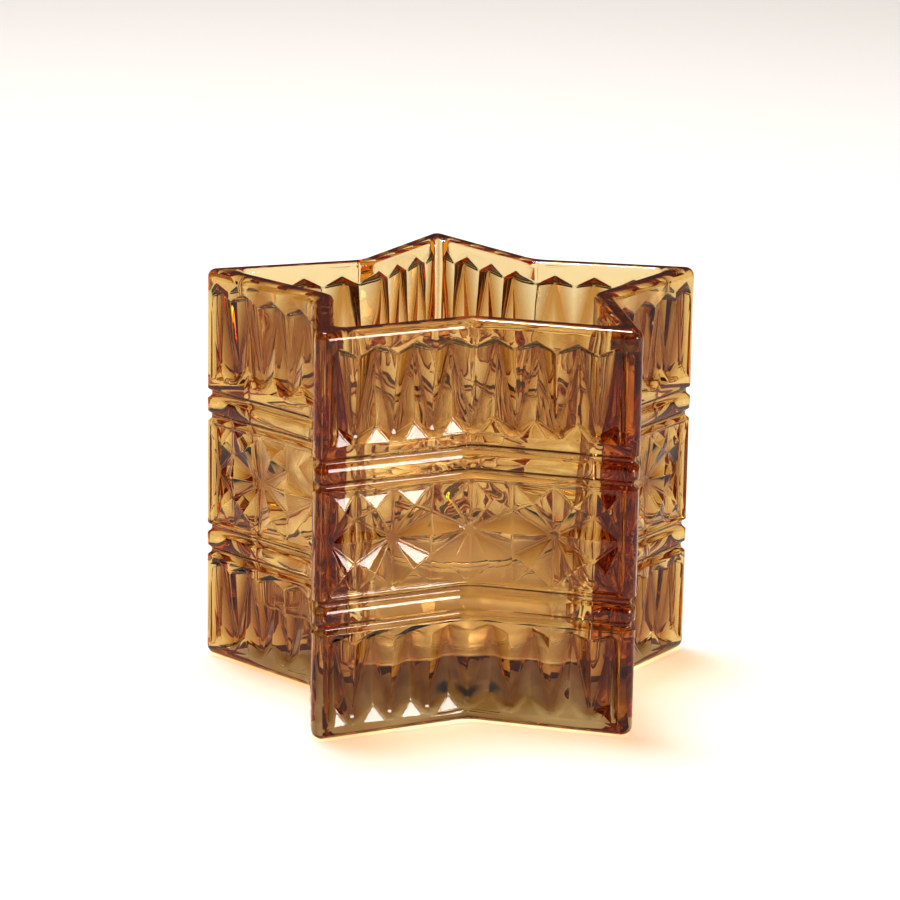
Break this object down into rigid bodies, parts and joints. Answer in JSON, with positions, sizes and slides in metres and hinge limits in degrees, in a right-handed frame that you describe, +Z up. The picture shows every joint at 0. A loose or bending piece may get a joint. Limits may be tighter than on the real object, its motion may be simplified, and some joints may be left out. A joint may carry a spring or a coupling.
{
  "type": "tealight holder",
  "caption": "Five-pointed star tealight holder in amber pressed glass, with beaded bands round its faceted walls and a loose tealight in its open well.",
  "frame": {"origin": "centre of the star on its flat underside", "axes": "+Z up along the star's axis, +Y towards its back point, symmetric about the YZ plane"},
  "size_m": [0.0854, 0.0814, 0.07],
  "materials": {
    "amber_glass": "clear amber pressed glass, fire-polished",
    "clear_cup": "clear, glossy",
    "wax": "honey-coloured wax, satin",
    "wick": "braided waxed cotton",
    "tinplate": "bright tinned steel"
  },
  "bodies": {
    "holder": {"star_glass": "amber_glass"},
    "tealight": {"tealight_cup": "clear_cup", "tealight_wax": "wax", "tealight_wick": "wick", "wick_sustainer": "tinplate"}
  },
  "joints": [
    {"name": "tealight_lift", "type": "slide", "parent": "holder", "child": "tealight", "axis": [0, 0, 1], "range_m": [0, 0.075]}
  ]
}
